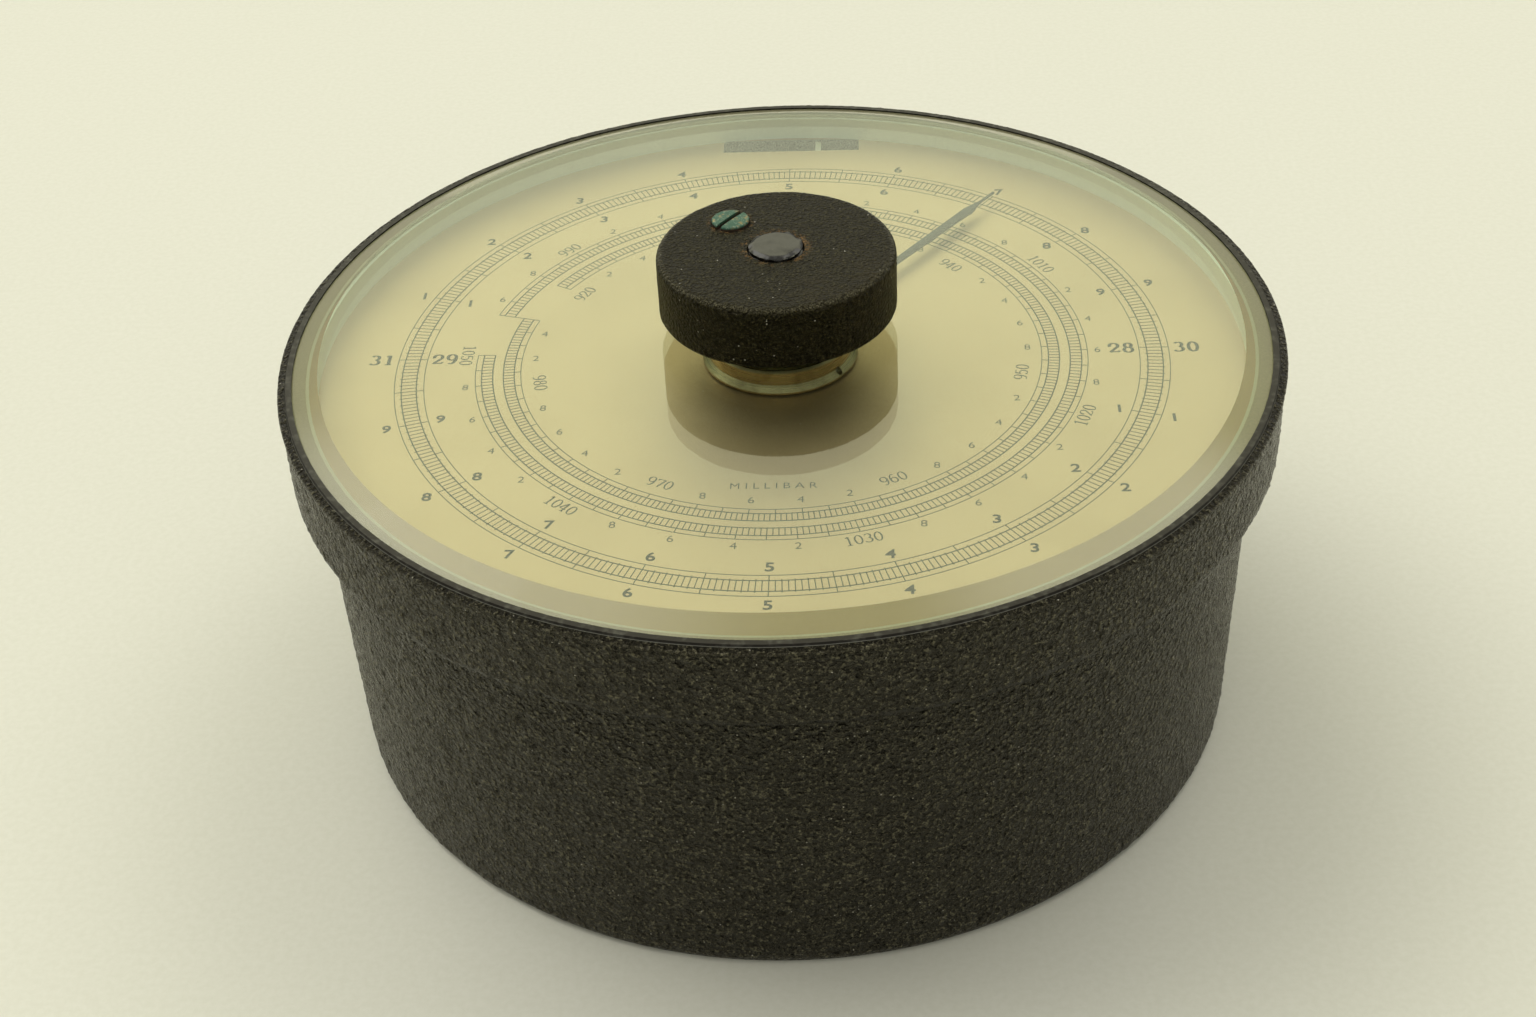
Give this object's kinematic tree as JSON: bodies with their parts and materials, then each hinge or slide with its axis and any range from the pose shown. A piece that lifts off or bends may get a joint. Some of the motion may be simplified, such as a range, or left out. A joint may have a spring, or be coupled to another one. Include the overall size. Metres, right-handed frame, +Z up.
{
  "type": "precision aneroid barometer",
  "caption": "Round desk barometer in a black crackle case: bevelled glass, champagne dial with double scale, pointer turned by a central knob, window with null index.",
  "frame": {"origin": "centre of the case's underside", "axes": "+Z up along the knob's axis; -Y towards six o'clock on the dial, +X towards three o'clock"},
  "size_m": [0.16, 0.16, 0.082],
  "materials": {
    "case_paint": "black crackle enamel",
    "knob_paint": "fine-grained black enamel",
    "glass": "polished, bevelled edge",
    "nickel_trim": "aged nickel plate",
    "hub_nickel": "turned nickel brass",
    "gasket_rubber": "matt",
    "bright_aluminium": "satin spun",
    "dial_face": "champagne silvered, lacquered, printed scales",
    "black_screen": "matt black",
    "washer_leather": "plain",
    "movement_brass": "lacquered, lightly tarnished",
    "screw_steel": "ground",
    "capsule_metal": "nickel-silver sheet",
    "index_paint": "pale enamel",
    "pointer_steel": "blued steel",
    "verdigris_brass": "green patina",
    "sealing_wax": "broken sealing wax"
  },
  "bodies": {
    "case": {"case_body": "case_paint", "bezel": "case_paint", "glass": "glass", "glass_retaining_ring": "nickel_trim", "glass_gasket": "gasket_rubber", "bright_ring": "bright_aluminium", "dial_plate": "dial_face", "window_screen": "black_screen", "glass_bush": "nickel_trim", "glass_bush_washer": "washer_leather", "glass_bush_nut": "nickel_trim", "base_plate": "movement_brass", "floor_screws": "movement_brass", "pillars": "movement_brass", "upper_plate": "movement_brass", "plate_screws": "screw_steel", "dial_feet": "movement_brass", "plate_bush": "movement_brass", "guide_rods": "screw_steel", "capsule_lower": "capsule_metal", "capsule_post": "movement_brass", "lever_bracket": "movement_brass", "lever_bracket_screws": "screw_steel", "null_bracket": "movement_brass", "null_bracket_screws": "screw_steel"},
    "knob_group": {"arbor": "screw_steel", "thrust_collar": "movement_brass", "collar_screw": "screw_steel", "stop_nut": "movement_brass", "pointer_hub": "hub_nickel", "hub_screws": "screw_steel", "pointer": "pointer_steel", "knob": "knob_paint", "knob_nut": "movement_brass", "knob_screw": "verdigris_brass", "knob_plug": "sealing_wax"},
    "carriage": {"carriage_nut": "movement_brass", "measuring_spring": "screw_steel"},
    "capsule_head": {"capsule_upper": "capsule_metal", "capsule_stud": "movement_brass", "spring_seat": "movement_brass"},
    "lever": {"balance_lever": "movement_brass", "lever_pin": "screw_steel"},
    "null_hand": {"null_staff": "screw_steel", "null_crank": "movement_brass", "null_index": "index_paint", "null_weight": "movement_brass"}
  },
  "joints": [
    {"name": "knob_turn", "type": "hinge", "parent": "case", "child": "knob_group", "pos_m": [0, 0, 0.06], "axis": [0, 0, 1], "range_deg": [-234.4, 456.6]},
    {"name": "carriage_slide", "type": "slide", "parent": "case", "child": "carriage", "axis": [0, 0, 1], "range_m": [-0.00254, 0.00131], "deforming": ["measuring_spring"]},
    {"name": "lever_tilt", "type": "hinge", "parent": "case", "child": "lever", "pos_m": [0, -0.038, 0.022], "axis": [1, 0, 0], "range_deg": [-0.45, 1.17], "stiffness_Nm_per_rad": 20},
    {"name": "capsule_lift", "type": "slide", "parent": "case", "child": "capsule_head", "axis": [0, 0, 1], "range_m": [-0.0003, 0.00078], "deforming": ["capsule_upper"]},
    {"name": "null_swing", "type": "hinge", "parent": "case", "child": "null_hand", "pos_m": [0, 0.065, 0.02438], "axis": [0, -1, 0], "range_deg": [-10.5, 27.3]}
  ],
  "couplings": [
    {"joint": "carriage_slide", "follows": "knob_turn", "m_per_rad": -0.00031831},
    {"joint": "capsule_lift", "follows": "lever_tilt", "m_per_rad": 0.038},
    {"joint": "null_swing", "follows": "lever_tilt", "ratio": 23.18}
  ]
}
